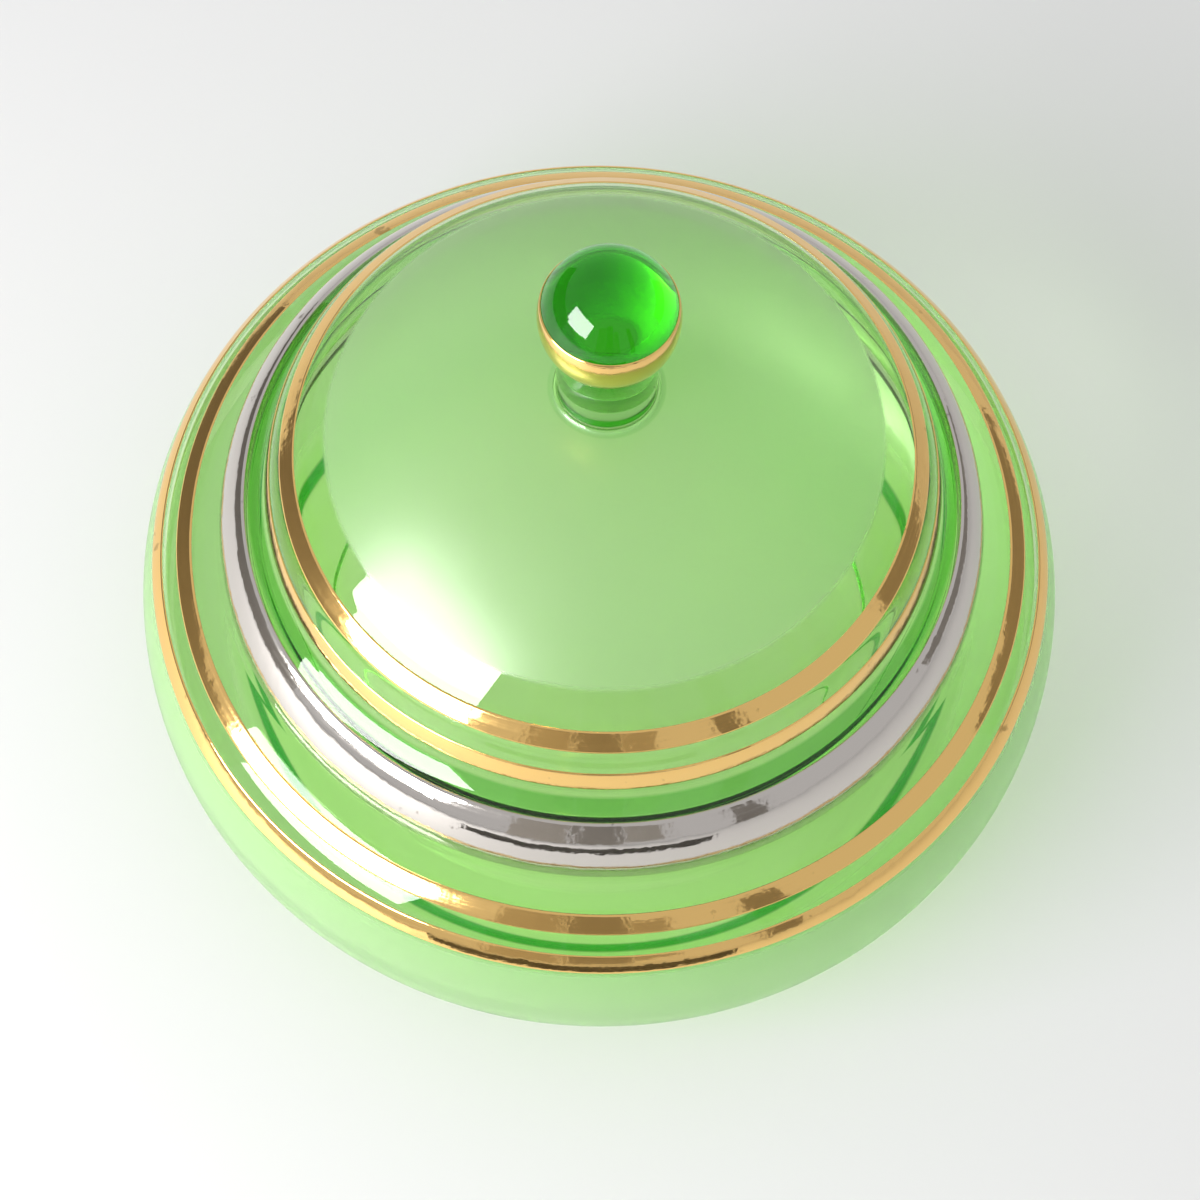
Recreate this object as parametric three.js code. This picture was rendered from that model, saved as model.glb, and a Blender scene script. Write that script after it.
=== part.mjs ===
// Covered candy dish in green glass with fired-on gold and platinum bands.
// Millimetres, +Z up, origin at the centre of the base. Every piece is a solid of revolution.
import * as THREE from 'three';

// Facets round the dish and round the knob, and steps along their curves
const dishSides = 40;
const knobSides = 24;
const shoulderSteps = 6;
const bellySteps = 5;
const heelSteps = 7;
const domeSteps = 7;
const riserSteps = 5;
const coveSteps = 4;
const rollSteps = 6;
const ballSteps = 10;
const flareSteps = 3;
const bendFullness = 0.55;      // how far a bend reaches towards its corner, 0 to 1

// Bowl
const bowlRadius = 90;          // at the widest girth
const girthHeight = 26;         // height of the widest girth
const baseRadius = 66;
const baseRecess = 1.2;         // the ground hollow inside the resting ring
const restingRing = 9;          // width of the ring the bowl stands on
const floorHeight = 6;          // inside floor above the table
const bowlWall = 3.2;
const shoulderDraw = 12;        // radial half-axis of the upper belly
const shoulderRise = 24;        // vertical half-axis of the upper belly
const shoulderShare = 0.742;    // where the shoulder meets the belly, from seat edge 0 to girth 1
const shoulderSlope = 0.25;     // fall of the shoulder from the seat outwards, radians
const shoulderHeel = 6.8;       // rise from the upper belly to the crown of the shoulder's bend

// Neck and seat for the lid
const neckRadius = 65.6;        // outside of the upright neck
const neckHeight = 7.5;         // above the seat
const neckEase = 0.8;           // rounding of the neck's lip
const mouthRise = 0.1;          // slope of the shoulder's underside up to the neck
const lidPlay = 2.4;            // radial play between neck and lid skirt
const seatMargin = 1;           // seat showing outside the lid's rim
const seatGap = 0.2;            // lid rim above the seat

// Lid
const lidWall = 3;
const skirtWall = 3.4;
const skirtDepth = 2.4;         // upright foot of the skirt below its roll
const rollWidth = 5.6;          // radial width of the rolled rim
const rollHeight = 10.8;
const rollSlope = 0.6;          // slope at the top of the roll, radians
const coveWidth = 4.2;          // radial width of the hollow cove inside the roll
const coveHeight = 3.8;
const riserHeight = 9.3;        // from the cove up to the dome's edge
const riserLean = 3.5;          // how far the riser draws in on its way up
const riserSlope = 1.42;        // slope at the foot of the riser, radians
const domeRise = 23.5;          // dome edge to apex

// Knob
const ballRadius = 11.6;
const stemRadius = 8.6;
const stemLength = 15.2;        // dome to ball
const stemFlare = 1.7;          // spread of the stem where it meets the dome
const fuseGap = 0.05;           // knob foot above its pad on the dome

// Fired metal bands: each lies over the glass as a thin skin
const bandThickness = 0.25;
const bandGap = 0.05;
const domeBandWidth = 4;        // ends at the dome's edge
const riserBandStart = 4.5;     // below the dome's edge
const riserBandWidth = 4.6;
const rimBandFoot = 0.6;        // bare glass below the platinum
const shoulderBandStart = 5.5;  // outwards from the seat's edge
const shoulderBandWidth = 3.8;
const bellyBandStart = 13.3;    // outwards from the seat's edge
const bellyBandWidth = 3.9;
const knobBandTop = 0.29;       // above the ball's equator, radians

const greenGlass = { color: 0x9fdc72, roughness: 0.08, metalness: 0, transparent: true, opacity: 0.55 };
const deepGlass = { color: 0x2fae16, roughness: 0.04, metalness: 0, transparent: true, opacity: 0.8 };
const gold = { color: 0xe0b262, roughness: 0.14, metalness: 1 };
const platinum = { color: 0x9c928a, roughness: 0.12, metalness: 1 };

const point = (radius, height) => new THREE.Vector2(radius, height);
const direction = (slope) => point(Math.cos(slope), -Math.sin(slope));

// Points on an ellipse about (radius, height), from one angle to another, both ends included
function arc(radius, height, across, up, from, to, steps) {
  return Array.from({ length: steps + 1 }, (_, i) => {
    const angle = from + ((to - from) * i) / steps;
    return point(radius + across * Math.cos(angle), height + up * Math.sin(angle));
  });
}

// A smooth bend between two points that leaves and arrives along the given slopes
function bend(start, startSlope, end, endSlope, steps) {
  const out = direction(startSlope);
  const into = direction(endSlope);
  const across = end.clone().sub(start);
  const reach = across.cross(into) / out.cross(into);
  const corner = start.clone().addScaledVector(out, reach);
  const curve = new THREE.CubicBezierCurve(
    start, start.clone().lerp(corner, bendFullness), end.clone().lerp(corner, bendFullness), end);
  return curve.getPoints(steps);
}

// Joins stretches of outline and drops the points that repeat
function join(...stretches) {
  return stretches.flat().filter((p, i, all) => i === 0 || p.distanceTo(all[i - 1]) > 1e-6);
}

// The outline moved sideways: positive distances go outwards from a profile drawn from the top down.
// Points that would run backwards inside a tight bend are dropped.
function offset(outline, distance) {
  const moved = outline.map((p, i) => {
    const before = p.clone().sub(outline[Math.max(i - 1, 0)]).normalize();
    const after = outline[Math.min(i + 1, outline.length - 1)].clone().sub(p).normalize();
    const along = before.clone().add(after).normalize();
    const straight = before.lengthSq() ? before : after;
    const spread = Math.max(along.dot(straight), 0.5);
    return p.clone().add(point(-along.y, along.x).multiplyScalar(distance / spread));
  });
  return moved.filter((q, i) => i === 0
    || q.clone().sub(moved[i - 1]).dot(outline[i].clone().sub(outline[i - 1])) > 0);
}

function lengthOf(outline) {
  return outline.slice(1).reduce((sum, p, i) => sum + p.distanceTo(outline[i]), 0);
}

// The stretch of an outline between two distances along it
function stretch(outline, from, to) {
  const cut = [];
  let walked = 0;
  for (let i = 1; i < outline.length; i += 1) {
    const step = outline[i].distanceTo(outline[i - 1]);
    for (const mark of [from, to]) {
      if (mark >= walked && mark < walked + step) {
        cut.push(outline[i - 1].clone().lerp(outline[i], (mark - walked) / step));
      }
    }
    walked += step;
    if (walked > from && walked < to) cut.push(outline[i]);
  }
  return join(cut);
}

// Turns a profile about +Z; the profile runs anticlockwise as seen with the axis on its left
function turned(name, profile, sides, finish) {
  const geometry = new THREE.LatheGeometry(profile, sides);
  geometry.rotateX(Math.PI / 2);
  const mesh = new THREE.Mesh(geometry, new THREE.MeshStandardMaterial(finish));
  mesh.name = name;
  return mesh;
}

// A thin metal skin over part of a glass outline that is drawn from the top down
function band(name, outline, from, to, sides, finish) {
  const glass = stretch(outline, from, to);
  const outer = offset(glass, bandGap + bandThickness);
  const inner = offset(glass, bandGap).reverse();
  const ring = [...outer, ...inner].reverse();
  return turned(name, [...ring, ring[0].clone()], sides, finish);
}

// Bowl outside, from the neck's foot down to the resting ring
const rimRadius = neckRadius + lidPlay + skirtWall;
const seatRadius = rimRadius + seatMargin;
const shoulderRadius = seatRadius + (bowlRadius - seatRadius) * shoulderShare;
const shoulderTurn = Math.acos(1 - (bowlRadius - shoulderRadius) / shoulderDraw);
const shoulderPoint = point(shoulderRadius, girthHeight + shoulderRise * Math.sin(shoulderTurn));
const shoulderFall = Math.atan2(
  shoulderRise * Math.cos(shoulderTurn), shoulderDraw * Math.sin(shoulderTurn));
const cornerRadius = shoulderPoint.x - shoulderHeel / Math.tan(shoulderFall);
const seatHeight = shoulderPoint.y + shoulderHeel
  + (cornerRadius - seatRadius) * Math.tan(shoulderSlope);
const seatEdge = point(seatRadius, seatHeight);
const shoulder = join(
  bend(seatEdge, shoulderSlope, shoulderPoint, shoulderFall, shoulderSteps),
  arc(bowlRadius - shoulderDraw, girthHeight, shoulderDraw, shoulderRise,
    shoulderTurn, 0, bellySteps),
  arc(baseRadius, girthHeight, bowlRadius - baseRadius, girthHeight,
    0, -Math.PI / 2, heelSteps));

// Bowl inside, one wall in from the outside and cut off at the thick floor
const neckFoot = point(neckRadius, seatHeight);
const neckTop = seatHeight + neckHeight;
const lining = offset([neckFoot, ...shoulder], -bowlWall).slice(1);
const liningAbove = lining.filter((p) => p.y > floorHeight);
const lastAbove = liningAbove[liningAbove.length - 1];
const firstBelow = lining[liningAbove.length];
const floorEdge = lastAbove.clone().lerp(
  firstBelow, (lastAbove.y - floorHeight) / (lastAbove.y - firstBelow.y));
const mouthRadius = neckRadius - bowlWall;
const bowlProfile = [
  point(0, baseRecess),
  point(baseRadius - restingRing - baseRecess, baseRecess),
  point(baseRadius - restingRing, 0),
  ...[...shoulder].reverse(),
  neckFoot,
  point(neckRadius, neckTop - neckEase),
  point(neckRadius - neckEase, neckTop),
  point(mouthRadius + neckEase, neckTop),
  point(mouthRadius, neckTop - neckEase),
  point(mouthRadius, seatHeight - bowlWall + (liningAbove[0].x - mouthRadius) * mouthRise),
  ...liningAbove,
  floorEdge,
  point(0, floorHeight),
];

// Lid outside, from the dome's pad down to the foot of the skirt
const rimFoot = seatHeight + seatGap;
const rollTop = point(rimRadius - rollWidth, rimFoot + skirtDepth + rollHeight);
const riserFoot = point(rollTop.x - coveWidth, rollTop.y + coveHeight);
const domeEdge = point(riserFoot.x - riserLean, riserFoot.y + riserHeight);
const domeCurve = (domeEdge.x ** 2 + domeRise ** 2) / (2 * domeRise);
const domeCentre = domeEdge.y + domeRise - domeCurve;
const domeSlope = Math.asin(domeEdge.x / domeCurve);
const padRadius = stemRadius + stemFlare;
const padAngle = Math.acos(padRadius / domeCurve);
const dome = arc(
  0, domeCentre, domeCurve, domeCurve, padAngle, Math.PI / 2 - domeSlope, domeSteps);
const padHeight = dome[0].y;
const riser = bend(domeEdge, domeSlope, riserFoot, riserSlope, riserSteps);
const cove = bend(riserFoot, riserSlope, rollTop, rollSlope, coveSteps);
const skirtTop = point(rimRadius, rimFoot + skirtDepth);
const roll = bend(rollTop, rollSlope, skirtTop, Math.PI / 2, rollSteps);
const lidOutside = join(dome, riser, cove, roll, [point(rimRadius, rimFoot)]);

// Lid inside: one wall in, with the thicker skirt foot ground flat
const lidLining = offset(join(dome, riser, cove, roll), -lidWall);
const skirtInside = rimRadius - skirtWall;
const lidProfile = [
  point(0, domeCentre + domeCurve - lidWall),
  ...lidLining.filter((p) => p.x < skirtInside),
  point(skirtInside, rimFoot + skirtDepth),
  point(skirtInside, rimFoot),
  ...[...lidOutside].reverse(),
  point(0, padHeight),
];

// Knob, from its foot on the dome up to the top of the ball
const knobFoot = padHeight + fuseGap;
const ballDrop = Math.acos(stemRadius / ballRadius);
const ballCentre = padHeight + stemLength + ballRadius * Math.sin(ballDrop);
const ball = arc(0, ballCentre, ballRadius, ballRadius, Math.PI / 2, -ballDrop, ballSteps);
const flare = arc(
  padRadius, knobFoot + stemFlare, stemFlare, stemFlare, Math.PI, 1.5 * Math.PI, flareSteps);
ball[0].x = 0;
flare[flare.length - 1].x = padRadius;
const knobProfile = [point(0, knobFoot), ...[...flare].reverse(), ...[...ball].reverse()];

const group = new THREE.Group();
group.add(turned('bowl', bowlProfile, dishSides, greenGlass));
group.add(turned('lid', lidProfile, dishSides, greenGlass));
group.add(turned('knob', knobProfile, knobSides, deepGlass));

const domeLength = lengthOf(dome);
const rollStart = domeLength + lengthOf(riser) + lengthOf(cove);
const rimLength = lengthOf(lidOutside);
const lidBands = [
  ['lid_dome_gold_band', domeLength - domeBandWidth, domeLength, gold],
  ['lid_riser_gold_band', domeLength + riserBandStart,
    domeLength + riserBandStart + riserBandWidth, gold],
  ['lid_rim_platinum_band', rollStart, rimLength - rimBandFoot, platinum],
];
for (const [name, from, to, finish] of lidBands) {
  group.add(band(name, lidOutside, from, to, dishSides, finish));
}

const bowlBands = [
  ['bowl_shoulder_gold_band', shoulderBandStart, shoulderBandWidth],
  ['bowl_belly_gold_band', bellyBandStart, bellyBandWidth],
];
for (const [name, from, width] of bowlBands) {
  group.add(band(name, shoulder, from, from + width, dishSides, gold));
}

const ballTop = ballRadius * (Math.PI / 2 - knobBandTop);
group.add(band('knob_gold_band', ball, ballTop, lengthOf(ball) - bandThickness, knobSides, gold));

export default group;
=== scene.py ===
import bpy
import numpy as np
from mathutils import Matrix, Vector


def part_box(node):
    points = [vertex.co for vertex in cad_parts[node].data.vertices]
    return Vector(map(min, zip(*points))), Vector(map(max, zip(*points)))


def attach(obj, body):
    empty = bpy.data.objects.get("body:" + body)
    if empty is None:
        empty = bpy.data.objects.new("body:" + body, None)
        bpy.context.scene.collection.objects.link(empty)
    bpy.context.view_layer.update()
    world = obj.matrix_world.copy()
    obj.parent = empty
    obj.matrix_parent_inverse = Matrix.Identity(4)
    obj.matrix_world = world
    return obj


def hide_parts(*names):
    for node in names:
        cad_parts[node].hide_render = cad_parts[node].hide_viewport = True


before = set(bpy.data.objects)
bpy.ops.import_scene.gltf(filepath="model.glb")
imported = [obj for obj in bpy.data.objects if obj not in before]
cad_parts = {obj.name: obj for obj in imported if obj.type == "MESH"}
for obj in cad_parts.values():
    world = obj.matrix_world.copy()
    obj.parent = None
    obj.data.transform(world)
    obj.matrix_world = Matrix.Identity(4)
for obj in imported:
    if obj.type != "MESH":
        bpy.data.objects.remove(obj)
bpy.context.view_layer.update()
scene = bpy.context.scene
print("frame loaded:", ", ".join(sorted(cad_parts)))


# camera and studio, in metres and degrees
cameraSetup = {
    "place": (0.0, -0.2031, 0.4597),
    "tiltDown": 65.42,
    "turnRight": 0.06,
    "roll": 2.18,
    "lens": 72.0,
    "sensorWidth": 36,
}
studio = {
    "floorHalfWidth": 20.0,
    "floorHeight": -0.0001,  # just under the glass, so the two faces never coincide
    "floorColour": (0.82, 0.82, 0.815),
    "floorRoughness": 0.55,
    "surroundings": (0.64, 0.64, 0.65),
    "softboxFrom": (-145.0, 29.0),  # compass angle and height in degrees
    "softboxAim": (0.0, 0.0, 0.06),
    "softboxDistance": 0.9,
    "softboxSize": (0.66, 0.42),
    "softboxPower": 7.6,
    "softboxGlow": 20.0,
    "glowInFront": 0.01,
    # grey cards for the metal to reflect: from (x, y), to (x, y), foot, top and grey
    "cards": {
        "frontCardLeft": ((-0.15, -0.47), (-0.035, -0.46), 0.05, 0.50, 0.42),
        "frontCardMiddle": ((-0.028, -0.46), (0.06, -0.46), 0.06, 0.54, 0.33),
        "frontCardRight": ((0.066, -0.46), (0.13, -0.45), 0.09, 0.42, 0.42),
        "leftCard": ((-0.75, -0.25), (-0.55, 0.75), 0.03, 0.34, 0.20),
        "rightCard": ((0.80, -0.10), (0.62, 0.55), 0.10, 0.34, 0.24),
        "thinCard": ((0.30, -0.50), (0.36, -0.47), 0.03, 0.50, 0.22),
        "lowStrip": ((-0.10, -0.215), (0.09, -0.205), 0.014, 0.040, 0.10),
    },
    "cardWarmth": (1.0, 0.93, 0.84),
    "cardRoughness": 0.9,
}


def lookAlong(forward, roll):
    # camera axes: x is level and square to the view, then turned by the roll about the view
    side = forward.cross(Vector((0, 0, 1))).normalized()
    up = side.cross(forward)
    x = side * np.cos(roll) + up * np.sin(roll)
    y = up * np.cos(roll) - side * np.sin(roll)
    return Matrix((x, y, -forward)).transposed().to_4x4()


tilt, turn, roll = np.radians([cameraSetup[k] for k in ("tiltDown", "turnRight", "roll")])
forward = Vector((np.sin(turn) * np.cos(tilt), np.cos(turn) * np.cos(tilt), -np.sin(tilt)))
cameraData = bpy.data.cameras.new("camera")
cameraData.lens = cameraSetup["lens"]
cameraData.sensor_width = cameraSetup["sensorWidth"]
camera = bpy.data.objects.new("camera", cameraData)
camera.matrix_world = Matrix.Translation(cameraSetup["place"]) @ lookAlong(forward, roll)
scene.collection.objects.link(camera)
scene.camera = camera


# small helpers for materials
def addNode(tree, kind, links=None, **settings):
    # links gives each input a value or another node's output
    made = tree.nodes.new(kind)
    for key, value in settings.items():
        setattr(made, key, value)
    for key, value in (links or {}).items():
        if isinstance(value, bpy.types.NodeSocket):
            tree.links.new(value, made.inputs[key])
        else:
            made.inputs[key].default_value = value
    return made


def mixColour(tree, share, first, second):
    # the first colour where the share is 0 and the second where it is 1
    colours = {slot: (*value, 1) if isinstance(value, tuple) else value
               for slot, value in ((6, first), (7, second))}
    return addNode(tree, "ShaderNodeMix", {0: share, **colours}, data_type="RGBA").outputs[2]


def noise(tree, place, grain):
    # grain is the scale of the pattern and its detail
    scale, detail = grain
    return addNode(tree, "ShaderNodeTexNoise",
                   {"Vector": place, "Scale": scale, "Detail": detail}).outputs["Fac"]


def spread(tree, value, fromRange, toRange=(0.0, 1.0)):
    # a straight-line change of range, held at both ends
    return addNode(tree, "ShaderNodeMapRange", {
        "Value": value, "From Min": fromRange[0], "From Max": fromRange[1],
        "To Min": toRange[0], "To Max": toRange[1]}).outputs["Result"]


def sums(tree, operation, *values):
    return addNode(tree, "ShaderNodeMath", dict(enumerate(values)), operation=operation).outputs[0]


def arrows(tree, operation, first, second):
    return addNode(tree, "ShaderNodeVectorMath", {0: first, 1: second},
                   operation=operation).outputs[0]


def zone(tree, name):
    return addNode(tree, "ShaderNodeAttribute", attribute_name=name).outputs["Fac"]


def bump(tree, height, strength, distance, under=None):
    links = {"Height": height, "Strength": strength, "Distance": distance}
    if under is not None:
        links["Normal"] = under
    return addNode(tree, "ShaderNodeBump", links).outputs[0]


def newMaterial(name):
    material = bpy.data.materials.new(name)
    material.use_nodes = True
    material.node_tree.nodes.clear()
    return material, material.node_tree


def plainMaterial(name, colour, roughness):
    material, tree = newMaterial(name)
    shader = addNode(tree, "ShaderNodeBsdfPrincipled",
                     {"Base Color": (*colour, 1), "Roughness": roughness})
    addNode(tree, "ShaderNodeOutputMaterial", {"Surface": shader.outputs[0]})
    return material


# floor, cards and lights
def flatPanel(name, corners, material):
    mesh = bpy.data.meshes.new(name)
    mesh.from_pydata([tuple(c) for c in corners], [], [(0, 1, 2, 3)])
    mesh.materials.append(material)
    panel = bpy.data.objects.new(name, mesh)
    scene.collection.objects.link(panel)
    return panel


def onlyInGloss(panel):
    panel.visible_camera = False
    panel.visible_shadow = False
    panel.visible_diffuse = False
    panel.visible_transmission = False


half = studio["floorHalfWidth"]
level = studio["floorHeight"]
flatPanel("floor", [(-half, -half, level), (half, -half, level),
                    (half, half, level), (-half, half, level)],
          plainMaterial("paleFloor", studio["floorColour"], studio["floorRoughness"]))

# only the metal and the gloss see the cards: they give no shade and don't show through the glass
for name, (start, end, low, high, grey) in studio["cards"].items():
    colour = [grey * share for share in studio["cardWarmth"]]
    card = flatPanel(name, [(*start, low), (*end, low), (*end, high), (*start, high)],
                     plainMaterial(name, colour, studio["cardRoughness"]))
    onlyInGloss(card)

world = bpy.data.worlds.new("surroundings")
world.use_nodes = True
world.node_tree.nodes["Background"].inputs["Color"].default_value = (*studio["surroundings"], 1)
scene.world = world

turnTo, height = np.radians(studio["softboxFrom"])
away = Vector((np.cos(turnTo) * np.cos(height), np.sin(turnTo) * np.cos(height), np.sin(height)))
lampData = bpy.data.lights.new("softbox", "AREA")
lampData.shape = "RECTANGLE"
lampData.size, lampData.size_y = studio["softboxSize"]
lampData.energy = studio["softboxPower"]
lamp = bpy.data.objects.new("softbox", lampData)
lamp.matrix_world = (
    Matrix.Translation(away * studio["softboxDistance"] + Vector(studio["softboxAim"]))
    @ away.to_track_quat("Z", "Y").to_matrix().to_4x4())
lamp.visible_camera = False
scene.collection.objects.link(lamp)

# a bright sheet in front of the softbox is seen only in gloss, where the lamp itself looks too dim
glow, glowTree = newMaterial("softboxGlow")
shine = addNode(glowTree, "ShaderNodeEmission", {"Strength": studio["softboxGlow"]})
addNode(glowTree, "ShaderNodeOutputMaterial", {"Surface": shine.outputs[0]})
acrossLamp, upLamp = (np.array(lamp.matrix_world.to_3x3().col[k]) * size / 2
                      for k, size in enumerate(studio["softboxSize"]))
lampMiddle = np.array(lamp.matrix_world.translation) - np.array(away) * studio["glowInFront"]
sheet = flatPanel("softboxSheet", [lampMiddle + i * acrossLamp + j * upLamp
                                   for i, j in ((-1, -1), (1, -1), (1, 1), (-1, 1))], glow)
onlyInGloss(sheet)

scene.view_settings.view_transform = "Standard"
# light crosses many glass walls before it reaches the floor under the dish
scene.cycles.max_bounces = 32
scene.cycles.transmission_bounces = 32
scene.cycles.diffuse_bounces = 6
scene.cycles.sample_clamp_indirect = 30
print("camera, floor and lights ready")


# outlines: (radius, height) points in millimetres, drawn from the top down
perMetre = 1000
outlineSetup = {
    "bendFullness": 0.55,  # how far a bend's handles reach towards its corner
    "liningSpacing": 0.4,
    "liningPasses": 30,
    "foldMargin": 0.02,
    "samePoint": 1e-4,
    "onAxis": 1e-7,  # metres
}


def along(slope):
    return np.array([np.cos(slope), -np.sin(slope)])


def bend(start, startSlope, end, endSlope, steps):
    # a cubic curve whose two handles reach part of the way to where the end slopes cross
    start, end = np.array(start, float), np.array(end, float)
    out, into = along(startSlope), along(endSlope)
    across = end - start
    reach = (across[0] * into[1] - across[1] * into[0]) / (out[0] * into[1] - out[1] * into[0])
    corner = start + out * reach
    handleA, handleB = (point + outlineSetup["bendFullness"] * (corner - point)
                        for point in (start, end))
    share = np.linspace(0, 1, steps)[:, None]
    return ((1 - share) ** 3 * start + 3 * (1 - share) ** 2 * share * handleA
            + 3 * (1 - share) * share ** 2 * handleB + share ** 3 * end)


def arc(centre, across, up, start, end, steps):
    # radius = centre + across cos(angle), height = centre + up sin(angle)
    angle = np.linspace(start, end, steps)
    return np.stack([centre[0] + across * np.cos(angle), centre[1] + up * np.sin(angle)], 1)


def join(*parts):
    # one line through all the parts, without repeated points
    line = np.concatenate([np.atleast_2d(np.asarray(p, float)) for p in parts])
    gap = np.linalg.norm(np.diff(line, axis=0), axis=1)
    return line[np.concatenate([[True], gap > outlineSetup["samePoint"]])]


def distanceAlong(line):
    return np.concatenate([[0], np.cumsum(np.linalg.norm(np.diff(line, axis=0), axis=1))])


def sampled(line, places):
    walked = distanceAlong(line)
    return np.stack([np.interp(places, walked, line[:, k]) for k in (0, 1)], 1)


def evenly(line, spacing):
    length = distanceAlong(line)[-1]
    return sampled(line, np.linspace(0, length, int(np.ceil(length / spacing)) + 1))


def outwards(line):
    # the unit direction square to the line at each point, on its outer side
    run = np.gradient(line, axis=0)
    run /= np.linalg.norm(run, axis=1)[:, None]
    return np.stack([-run[:, 1], run[:, 0]], 1)


def lining(line, wall):
    # the line moved in by the wall, without the points a tight bend folds back,
    # then spaced evenly and averaged with its neighbours so that no corner is left
    moved = line + -wall * outwards(line)
    nearest = np.linalg.norm(moved[:, None] - line[None], axis=2).min(1)
    line = evenly(moved[nearest > wall - outlineSetup["foldMargin"]],
                  outlineSetup["liningSpacing"])
    for _ in range(outlineSetup["liningPasses"]):
        line[1:-1] = (line[:-2] + 2 * line[1:-1] + line[2:]) / 4
    return line


def eased(corner, before, after, radius, steps=7):
    # a corner cut back by the radius on both sides and rounded with a parabola
    corner, before, after = (np.array(p, float) for p in (corner, before, after))
    first = corner + (before - corner) / np.linalg.norm(before - corner) * radius
    last = corner + (after - corner) / np.linalg.norm(after - corner) * radius
    share = np.linspace(0, 1, steps)[:, None]
    return (1 - share) ** 2 * first + 2 * (1 - share) * share * corner + share ** 2 * last


def flatRun(start, end, height, steps=20):
    # a level stretch from one radius to another
    return np.stack([np.linspace(start, end, steps), np.full(steps, height)], 1)


def fade(value, start, end):
    # 0 before start, 1 after end, and a smooth step between them
    share = np.clip((value - start) / (end - start), 0, 1)
    return share * share * (3 - 2 * share)


def ring(radius, start, end, soft):
    # 1 between two radii and 0 outside them, with soft edges
    return fade(radius, start, start + soft) - fade(radius, end, end + soft)


def turned(name, profile, sides, zones):
    # x = radius cos(turn), y = radius sin(turn), z = height, over a grid of turns and profile points;
    # a profile whose ends are on the axis closes in two poles, any other closes on itself
    profile = np.asarray(profile, float) / perMetre
    poles = max(profile[0, 0], profile[-1, 0]) < outlineSetup["onAxis"]
    rings = profile[1:-1] if poles else profile
    turn = np.linspace(0, 2 * np.pi, sides, endpoint=False)
    grid = np.stack([
        rings[:, 0, None] * np.cos(turn), rings[:, 0, None] * np.sin(turn),
        np.repeat(rings[:, 1, None], sides, 1)], 2)
    count = len(rings)
    row, column = np.meshgrid(
        np.arange(count - 1 if poles else count), np.arange(sides), indexing="ij")
    nextRow, nextColumn = (row + 1) % count, (column + 1) % sides
    quads = np.stack([row * sides + column, nextRow * sides + column,
                      nextRow * sides + nextColumn, row * sides + nextColumn], 2).reshape(-1, 4)
    points, faces = grid.reshape(-1, 3), quads.tolist()
    if poles:
        first, last = len(points), len(points) + 1
        here, there = np.arange(sides), (np.arange(sides) + 1) % sides
        lowest = (count - 1) * sides
        faces += np.stack([np.full(sides, first), here, there], 1).tolist()
        faces += np.stack([np.full(sides, last), lowest + there, lowest + here], 1).tolist()
        ends = np.array([[0, 0, profile[0, 1]], [0, 0, profile[-1, 1]]])
        points = np.concatenate([points, ends])
    # the shoelace sum is positive when the profile runs anticlockwise, which turns the faces inwards
    radius, height = profile.T
    if np.sum(radius * np.roll(height, -1) - np.roll(radius, -1) * height) > 0:
        faces = [face[::-1] for face in faces]
    mesh = bpy.data.meshes.new(name)
    mesh.from_pydata(points, [], faces)
    mesh.polygons.foreach_set("use_smooth", np.ones(len(mesh.polygons), bool))
    for label, amount in zones.items():
        amount = np.asarray(amount, np.float32)
        shares = np.repeat(amount[1:-1] if poles else amount, sides)
        shares = np.concatenate([shares, amount[[0, -1]]]) if poles else shares
        mesh.attributes.new(label, "FLOAT", "POINT").data.foreach_set("value", shares)
    made = bpy.data.objects.new(name, mesh)
    scene.collection.objects.link(made)
    return made


def finished(piece, material, body, slot, *nodes):
    piece.data.materials.append(material)
    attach(piece, body)
    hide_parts(*nodes)


# glass, tinted by zones of the mesh: satin where it is etched, darker green where it is thick,
# with painted shade of darker green in the cove beside the rim, and a painted dark green ring at the
# foot of the bowl
glassLook = {
    "ior": 1.46,
    "absorbColour": (0.42, 0.94, 0.0),
    "absorbDensity": 50.0,
    "clearTint": (0.95, 0.97, 0.89),
    "satinTint": (0.67, 0.86, 0.55),
    # darker green for thick glass, also used as painted shade in the cove beside the rim
    "depthAndShadeTint": (0.03, 0.45, 0.003),
    # painted shade: the dark green ring refracted through the shoulder, painted on the heel
    "heelPaintedShade": (0.002, 0.26, 0.006),
    "passTint": (0.985, 0.99, 0.975),
    "satinRoughness": 0.34,
    "satinSpread": 0.04,
    "satinHaze": 0.22,
    "mottle": (60.0, 3.0),
    "mottleRange": (0.3, 0.7),
    "swell": (22.0, 1.0),
    "swellStrength": 0.2,
    "swellDepth": 0.0005,
}


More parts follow.
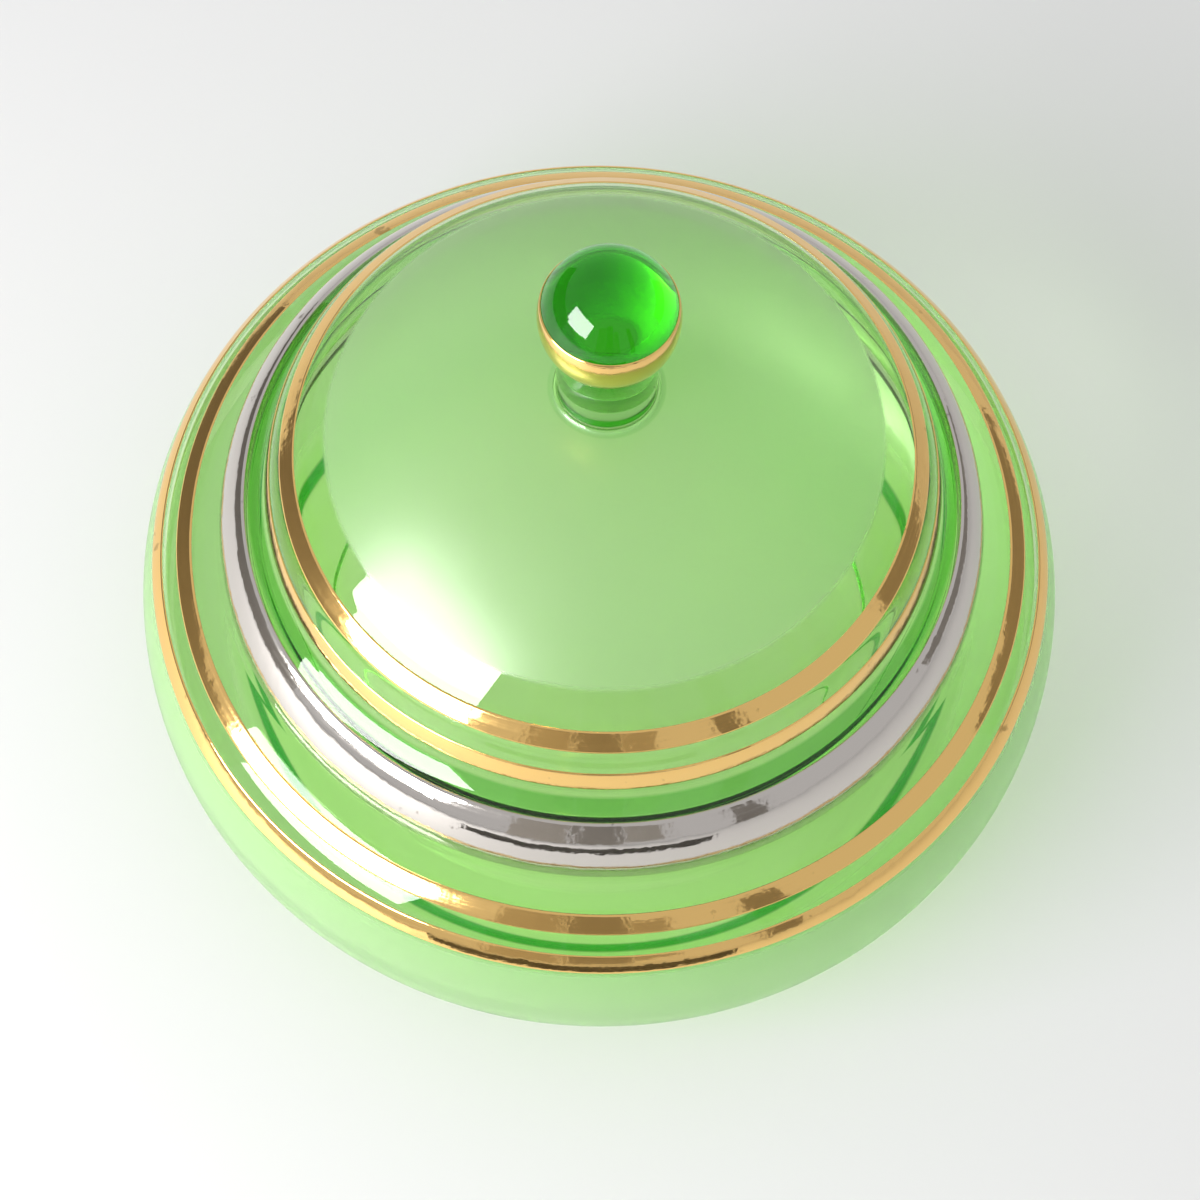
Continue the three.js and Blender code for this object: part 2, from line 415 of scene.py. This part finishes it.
def greenGlass(name):
    look = glassLook
    material, tree = newMaterial(name)
    place = addNode(tree, "ShaderNodeTexCoord").outputs["Object"]
    satin = zone(tree, "satin")
    mottle = noise(tree, place, look["mottle"])
    etch = spread(tree, mottle, look["mottleRange"], (
        look["satinRoughness"] - look["satinSpread"], look["satinRoughness"] + look["satinSpread"]))
    roughness = sums(tree, "MULTIPLY", satin, etch)
    clearness = sums(tree, "MULTIPLY_ADD", satin, -look["satinHaze"], 1.0)
    tint = mixColour(tree, satin, look["clearTint"], look["satinTint"])
    # darker green for thick glass, and painted shade in the cove beside the rim
    tint = mixColour(tree, zone(tree, "depthAndShade"), tint, look["depthAndShadeTint"])
    # painted shade: a dark green ring painted on the heel
    tint = mixColour(tree, zone(tree, "paintedHeelShade"), tint, look["heelPaintedShade"])
    swell = noise(tree, place, look["swell"])
    shader = addNode(tree, "ShaderNodeBsdfPrincipled", {
        "Base Color": tint, "IOR": look["ior"], "Roughness": roughness,
        "Transmission Weight": clearness,
        "Normal": bump(tree, swell, look["swellStrength"], look["swellDepth"])})
    volume = addNode(tree, "ShaderNodeVolumeAbsorption", {
        "Color": (*look["absorbColour"], 1), "Density": look["absorbDensity"]})
    # lamps and light scattered by the floor pass straight through, because plain glass
    # loses about half the light between its many walls
    path = addNode(tree, "ShaderNodeLightPath").outputs
    passes = sums(tree, "MAXIMUM", path["Is Shadow Ray"], path["Is Diffuse Ray"])
    clear = addNode(tree, "ShaderNodeBsdfTransparent", {"Color": (*look["passTint"], 1)})
    surface = addNode(tree, "ShaderNodeMixShader",
                      {0: passes, 1: shader.outputs[0], 2: clear.outputs[0]})
    addNode(tree, "ShaderNodeOutputMaterial",
            {"Surface": surface.outputs[0], "Volume": volume.outputs[0]})
    return material


# fired metal: base on the outside, under against the glass, worn in small spots
goldLook = {
    "base": (0.95, 0.62, 0.22),
    "under": (0.98, 0.86, 0.55),
    "worn": (0.55, 0.36, 0.12),
    "polish": 0.08,
}
platinumLook = {
    "base": (0.64, 0.60, 0.56),
    "under": (0.94, 0.95, 0.92),
    "worn": (0.26, 0.23, 0.20),
    "polish": 0.07,
}
metalLook = {
    "brush": (1.0, 3.0),
    "brushFine": (2400, 2400, 0),
    "brushSlow": (60, 60, 0),
    "brushRange": (0.3, 0.7),
    "brushRoughness": (0.5, 1.8),  # times the polish
    "brushStrength": 0.06,
    "brushDepth": 0.00005,
    "clouds": (90.0, 4.0),
    "specks": (420.0, 3.0),
    "wearRange": (0.40, 0.47),
    "wornRoughness": 0.25,
    "swell": (90.0, 4.0),
    "swellStrength": 0.6,
    "swellDepth": 0.0004,
}


def firedMetal(name, look):
    material, tree = newMaterial(name)
    place = addNode(tree, "ShaderNodeTexCoord").outputs["Object"]
    parts = addNode(tree, "ShaderNodeSeparateXYZ", {0: place})
    flat = addNode(tree, "ShaderNodeCombineXYZ",
                   {"X": parts.outputs["X"], "Y": parts.outputs["Y"]}).outputs[0]
    radius = addNode(tree, "ShaderNodeVectorMath", {0: flat}, operation="LENGTH").outputs["Value"]
    # burnishing runs round the dish: fine across the band, long round it
    across = addNode(tree, "ShaderNodeCombineXYZ",
                     {"X": radius, "Y": parts.outputs["Z"]}).outputs[0]
    fine = arrows(tree, "MULTIPLY", across, metalLook["brushFine"])
    slow = arrows(tree, "MULTIPLY", flat, metalLook["brushSlow"])
    brush = noise(tree, arrows(tree, "ADD", fine, slow), metalLook["brush"])
    wear = sums(tree, "MULTIPLY", noise(tree, place, metalLook["clouds"]),
                noise(tree, place, metalLook["specks"]))
    worn = spread(tree, wear, metalLook["wearRange"])
    colour = mixColour(tree, worn, look["base"], look["worn"])
    # against the glass the film is fresh and brighter
    colour = mixColour(tree, zone(tree, "under"), colour, look["under"])
    rough = spread(tree, brush, metalLook["brushRange"],
                   [look["polish"] * share for share in metalLook["brushRoughness"]])
    roughness = sums(tree, "MULTIPLY_ADD", worn, metalLook["wornRoughness"], rough)
    swell = noise(tree, place, metalLook["swell"])
    rolling = bump(tree, swell, metalLook["swellStrength"], metalLook["swellDepth"])
    brushed = bump(tree, brush, metalLook["brushStrength"], metalLook["brushDepth"], rolling)
    shader = addNode(tree, "ShaderNodeBsdfPrincipled", {
        "Base Color": colour, "Metallic": 1.0, "Roughness": roughness, "Normal": brushed})
    addNode(tree, "ShaderNodeOutputMaterial", {"Surface": shader.outputs[0]})
    return material


gold = firedMetal("firedGold", goldLook)
platinum = firedMetal("firedPlatinum", platinumLook)
lidGlass = greenGlass("lidGlass")
bowlGlass = greenGlass("bowlGlass")
print("materials ready")

glassSides = 192
bowlHigh = np.array(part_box("bowl")[1]) * perMetre
lidLow, lidHigh = (np.array(c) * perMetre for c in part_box("lid"))
knobHigh = np.array(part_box("knob")[1]) * perMetre

# bowl
bowlShape = {
    "radius": bowlHigh[0],
    "girthHeight": 26.0,
    "baseRadius": 66.0,
    "baseRecess": 1.2,
    "recessRun": 1.2,
    "recessEase": 1.0,
    "restingRing": 9.0,
    "ringEase": 0.6,
    "floorHeight": 6.0,
    "floorEase": 1.5,
    "floorSteps": ((-1.6, -0.95), (-4.0, -1.45)),
    "floorStart": 7.0,
    "floorMargin": 2.0,
    "recessMargin": 3.0,
    "flatFrom": 4.0,
    "wall": 3.2,
    "shoulderDraw": 12.0,
    "shoulderRise": 24.0,
    "shoulderTurn": 0.9,
    "shoulderSlope": 0.25,
    "neckRadius": 65.6,
    "neckTop": bowlHigh[2],
    "neckEase": 0.8,
    "neckFootEase": 1.0,
    "throatEase": 3.0,
    "throatRise": 0.6,
    "throatSkip": 3,
    "liningStart": (1.2, 0),
    "seatGap": 0.2,
    "seatMargin": 1.0,
    "curveSteps": 40,
    "bellySteps": 110,
    "lipSteps": 9,
    "throatSteps": 12,
    # a line inside the wall, as heights and radii: the outer face is outside it
    "insideWall": ((0, 26, 54), (70, 88.5, 70)),
    "satinBelow": 43.2,
    "satinHighest": 52.0,
    # where the heel's painted dark ring lies
    "heelRing": (68.9, 71.6),
    "heelHighest": 1.5,
    "zoneEdge": 0.5,
    "ringEdge": 0.6,
}


def bowlShoulderLine(shape, rimRadius, rimFoot):
    # from the seat under the lid, over the shoulder and the belly, to the base
    seatEdge = np.array([rimRadius + shape["seatMargin"], rimFoot - shape["seatGap"]])
    turn, draw, rise = (shape[k] for k in ("shoulderTurn", "shoulderDraw", "shoulderRise"))
    meeting = np.array([shape["radius"] - draw * (1 - np.cos(turn)),
                        shape["girthHeight"] + rise * np.sin(turn)])
    fall = np.arctan2(rise * np.cos(turn), draw * np.sin(turn))
    return seatEdge, join(
        bend(seatEdge, shape["shoulderSlope"], meeting, fall, shape["curveSteps"]),
        arc((shape["radius"] - draw, shape["girthHeight"]), draw, rise, turn, 0,
            shape["curveSteps"]),
        arc((shape["baseRadius"], shape["girthHeight"]), shape["radius"] - shape["baseRadius"],
            shape["girthHeight"], 0, -np.pi / 2, shape["bellySteps"]))


def bowlProfileLine(shape, seatEdge, shoulder):
    # closed in two poles: under the base, up the outside, over the neck and down the inside
    neck, top, ease = shape["neckRadius"], shape["neckTop"], shape["neckEase"]
    neckFoot = np.array([neck, seatEdge[1]])
    mouth = neck - shape["wall"]
    ringInside = shape["baseRadius"] - shape["restingRing"]
    recess = (ringInside - shape["recessRun"], shape["baseRecess"])
    inside = lining(join(neckFoot + shape["liningStart"], shoulder), shape["wall"])
    inside = inside[inside[:, 1] > shape["floorHeight"] + shape["floorEase"]]
    throat = (mouth, inside[0][1] + shape["throatRise"])
    inside = inside[shape["throatSkip"]:]
    floorStart = np.array([inside[-1][0] - shape["floorStart"], shape["floorHeight"]])
    first, second = shape["floorSteps"]
    return join(
        (0, shape["baseRecess"]),
        flatRun(shape["flatFrom"], ringInside - shape["recessMargin"], shape["baseRecess"]),
        eased(recess, (0, shape["baseRecess"]), (ringInside, 0), shape["recessEase"]),
        eased((ringInside, 0), recess, (shape["baseRadius"], 0), shape["ringEase"]),
        shoulder[::-1],
        eased(neckFoot, seatEdge, (neck, top), shape["neckFootEase"]),
        arc((neck - ease, top - ease), ease, ease, 0, np.pi / 2, shape["lipSteps"]),
        arc((mouth + ease, top - ease), ease, ease, np.pi / 2, np.pi, shape["lipSteps"]),
        eased(throat, (mouth, top), inside[0], shape["throatEase"], shape["throatSteps"]),
        inside,
        join(inside[-1], inside[-1] + first, inside[-1] + second, floorStart),
        flatRun(floorStart[0] - shape["floorMargin"], shape["flatFrom"], shape["floorHeight"]),
        (0, shape["floorHeight"]))


def bowlZones(shape, profile):
    # satin covers the outside below the bands; the ring at the heel is painted dark green, a painted
    # shade that stands in for the dark ring refracted through the shoulder
    radius, height = profile.T
    outerSide = radius > np.interp(height, *shape["insideWall"])
    edge = shape["zoneEdge"]
    satin = outerSide * (height < shape["satinHighest"]) * (
        1 - fade(height, shape["satinBelow"] - edge, shape["satinBelow"] + edge))
    paintedHeelShade = ring(radius, *shape["heelRing"], shape["ringEdge"]) * (height < shape["heelHighest"])
    return {"satin": satin, "depthAndShade": np.zeros(len(profile)), "paintedHeelShade": paintedHeelShade}


seatEdge, bowlShoulder = bowlShoulderLine(bowlShape, lidHigh[0], lidLow[2])
bowlProfile = bowlProfileLine(bowlShape, seatEdge, bowlShoulder)
bowl = turned("bowlGlass", bowlProfile, glassSides, bowlZones(bowlShape, bowlProfile))
finished(bowl, bowlGlass, "bowl", "bowl_glass", "bowl")
print("bowl turned:", len(bowl.data.polygons), "faces")

# lid with its knob, one piece of glass
lidShape = {
    "wall": 3.0,
    "skirtWall": 3.4,
    "skirtDepth": 2.4,
    "skirtEase": 0.6,
    "skirtRun": 2.0,
    "rollWidth": 5.6,
    "rollHeight": 10.8,
    "rollSlope": 0.46,
    "coveWidth": 4.2,
    "coveHeight": 3.8,
    "riserHeight": 9.3,
    "riserLean": 3.5,
    "riserSlope": 1.42,
    "domeRise": 23.5,
    "ballRadius": 11.6,
    "stemRadius": 8.6,
    "stemFlare": 1.7,
    "domeSteps": 90,
    "riserSteps": 30,
    "coveSteps": 24,
    "rollSteps": 36,
    "ballSteps": 60,
    "flareSteps": 9,
}
rimRadius, foot = lidHigh[0], lidLow[2]
rollTop = np.array([rimRadius - lidShape["rollWidth"],
                    foot + lidShape["skirtDepth"] + lidShape["rollHeight"]])
riserFoot = rollTop + (-lidShape["coveWidth"], lidShape["coveHeight"])
domeEdge = riserFoot + (-lidShape["riserLean"], lidShape["riserHeight"])
# a circle through the dome's edge and its top
domeCurve = (domeEdge[0] ** 2 + lidShape["domeRise"] ** 2) / (2 * lidShape["domeRise"])
domeCentre = (0.0, domeEdge[1] + lidShape["domeRise"] - domeCurve)
domeSlope = np.arcsin(domeEdge[0] / domeCurve)
padRadius = lidShape["stemRadius"] + lidShape["stemFlare"]


def domeArc(start):
    return arc(domeCentre, domeCurve, domeCurve, start, np.pi / 2 - domeSlope,
               lidShape["domeSteps"])


dome = domeArc(np.arccos(padRadius / domeCurve))
riser = bend(domeEdge, domeSlope, riserFoot, lidShape["riserSlope"], lidShape["riserSteps"])
cove = bend(riserFoot, lidShape["riserSlope"], rollTop, lidShape["rollSlope"],
            lidShape["coveSteps"])
roll = bend(rollTop, lidShape["rollSlope"], (rimRadius, foot + lidShape["skirtDepth"]),
            np.pi / 2, lidShape["rollSteps"])
lidOutside = join(dome, riser, cove, roll, (rimRadius, foot + lidShape["skirtEase"]))
ballDrop = np.arccos(lidShape["stemRadius"] / lidShape["ballRadius"])
ball = arc((0.0, knobHigh[2] - lidShape["ballRadius"]), lidShape["ballRadius"],
           lidShape["ballRadius"], np.pi / 2, -ballDrop, lidShape["ballSteps"])
padHeight = dome[0][1]
flare = arc((padRadius, padHeight + lidShape["stemFlare"]), lidShape["stemFlare"],
            lidShape["stemFlare"], np.pi, 1.5 * np.pi, lidShape["flareSteps"])
skirtInside = rimRadius - lidShape["skirtWall"]
skirtTop = foot + lidShape["skirtRun"]
under = lining(join((0, domeCentre[1] + domeCurve), domeArc(np.pi / 2), riser, cove, roll),
               lidShape["wall"])
under[0, 0] = 0
under = under[under[:, 0] < skirtInside]
lidProfile = join(
    under,
    (skirtInside, foot + lidShape["skirtDepth"] + lidShape["skirtRun"]),
    eased((skirtInside, foot), (skirtInside, skirtTop), (rimRadius, foot), lidShape["skirtEase"]),
    eased((rimRadius, foot), (skirtInside, foot), (rimRadius, skirtTop), lidShape["skirtEase"]),
    lidOutside[::-1], flare[::-1], ball[::-1])
lidProfile[-1, 0] = 0


lidTint = {
    "satinInside": 49.5,
    "satinEdge": 0.5,
    "skin": 0.5,
    "stemMargin": 0.6,
    "padMargin": 1.0,
    "coveMargins": (0.4, -1.0),
    "coveEdge": 0.5,
    # how far the painted shade darkens the cove
    "coveLowest": 9.0,
    "covePaintedShade": 0.8,
    "stemFade": (6.0, 8.0),  # heights above the top of the dome's pad
    "stemDepth": 0.25,
    "ballFade": (9.0, 15.0),
    "ballMargin": 0.1,
}


def lidZones(tint):
    # satin covers the dome inside its clear border; the ball and the foot of the stem are darker
    # green where the glass is thick, and the cove beside the rounded rim gets a painted shade of
    # darker green
    radius, height = lidProfile.T
    outerSide = np.arange(len(lidProfile)) > len(under)
    onDome = (np.hypot(radius, height - domeCentre[1]) > domeCurve - tint["skin"]) * (
        height > domeEdge[1]) * (height < padHeight + tint["padMargin"]) * (
        radius > lidShape["stemRadius"] + tint["stemMargin"])
    satin = onDome * (1 - fade(radius, tint["satinInside"] - tint["satinEdge"],
                               tint["satinInside"] + tint["satinEdge"]))
    coveStart, coveEnd = np.array([riserFoot[0], rollTop[0]]) + tint["coveMargins"]
    coveRing = ring(radius, coveStart, coveEnd, tint["coveEdge"]) * (
        height > foot + lidShape["skirtDepth"] + tint["coveLowest"])
    stemStart, stemEnd = padHeight + np.array(tint["stemFade"])
    stemFoot = (radius < padRadius) * (height > padHeight - tint["skin"]) * (
        1 - fade(height, stemStart, stemEnd))
    ballStart, ballEnd = padHeight + np.array(tint["ballFade"])
    depthAndShade = fade(height, ballStart, ballEnd) * (
        radius < lidShape["ballRadius"] + tint["ballMargin"])
    # painted shade: darker green in the cove beside the rounded rim
    depthAndShade += tint["covePaintedShade"] * coveRing * outerSide
    depthAndShade += tint["stemDepth"] * stemFoot * outerSide
    return {"satin": satin, "depthAndShade": depthAndShade, "paintedHeelShade": np.zeros(len(lidProfile))}


lid = turned("lidGlassWithKnob", lidProfile, glassSides, lidZones(lidTint))
finished(lid, lidGlass, "lid", "lid_glass", "lid", "knob")
print("lid turned:", len(lid.data.polygons), "faces")

# fired bands, each from one place to another along an outline, in millimetres
bandShape = {
    "gap": 0.05,
    "thickness": 0.18,
    "edge": 0.35,
    "thinnest": 0.02,
    "points": 40,
    "sides": 256,
    "domeWidth": 4.0,
    "riser": (4.5, 9.1),
    "shoulder": (5.5, 9.3),
    "belly": (13.3, 17.2),
    "knobTop": 0.29,
    "knobFoot": 0.25,
}


def firedBand(name, outline, start, end, body, node, material, slot):
    # over the glass from one place to another: height above it = gap + thickness, which
    # falls to a thin rim at both edges as the square root of the distance from the edge
    places = start + (end - start) * np.linspace(0, 1, bandShape["points"])
    line = sampled(outline, places)
    fromEdge = np.minimum(places - start, end - places) / bandShape["edge"]
    rise = bandShape["thickness"] * np.sqrt(np.clip(fromEdge, bandShape["thinnest"], 1))
    out = outwards(line)
    outer = line + out * (bandShape["gap"] + rise)[:, None]
    inner = line + out * bandShape["gap"]
    piece = turned(name, np.concatenate([outer, inner[::-1]]), bandShape["sides"],
                   {"under": np.repeat([0.0, 1.0], bandShape["points"])})
    finished(piece, material, body, slot, node)


domeLength, riserLength, coveLength = (distanceAlong(line)[-1] for line in (dome, riser, cove))
bands = [
    ("domeEdgeGold", lidOutside, domeLength - bandShape["domeWidth"], domeLength,
     "lid", "lid_dome_gold_band", gold, "gold"),
    ("riserGold", lidOutside, *(domeLength + place for place in bandShape["riser"]),
     "lid", "lid_riser_gold_band", gold, "gold"),
    ("rimPlatinum", lidOutside, domeLength + riserLength + coveLength,
     distanceAlong(lidOutside)[-1], "lid", "lid_rim_platinum_band", platinum, "platinum"),
    ("shoulderGold", bowlShoulder, *bandShape["shoulder"],
     "bowl", "bowl_shoulder_gold_band", gold, "gold"),
    ("bellyGold", bowlShoulder, *bandShape["belly"],
     "bowl", "bowl_belly_gold_band", gold, "gold"),
    ("knobGold", ball, lidShape["ballRadius"] * (np.pi / 2 - bandShape["knobTop"]),
     distanceAlong(ball)[-1] - bandShape["knobFoot"], "lid", "knob_gold_band", gold, "gold"),
]
for band in bands:
    firedBand(*band)
print("bands fired:", len(bands))
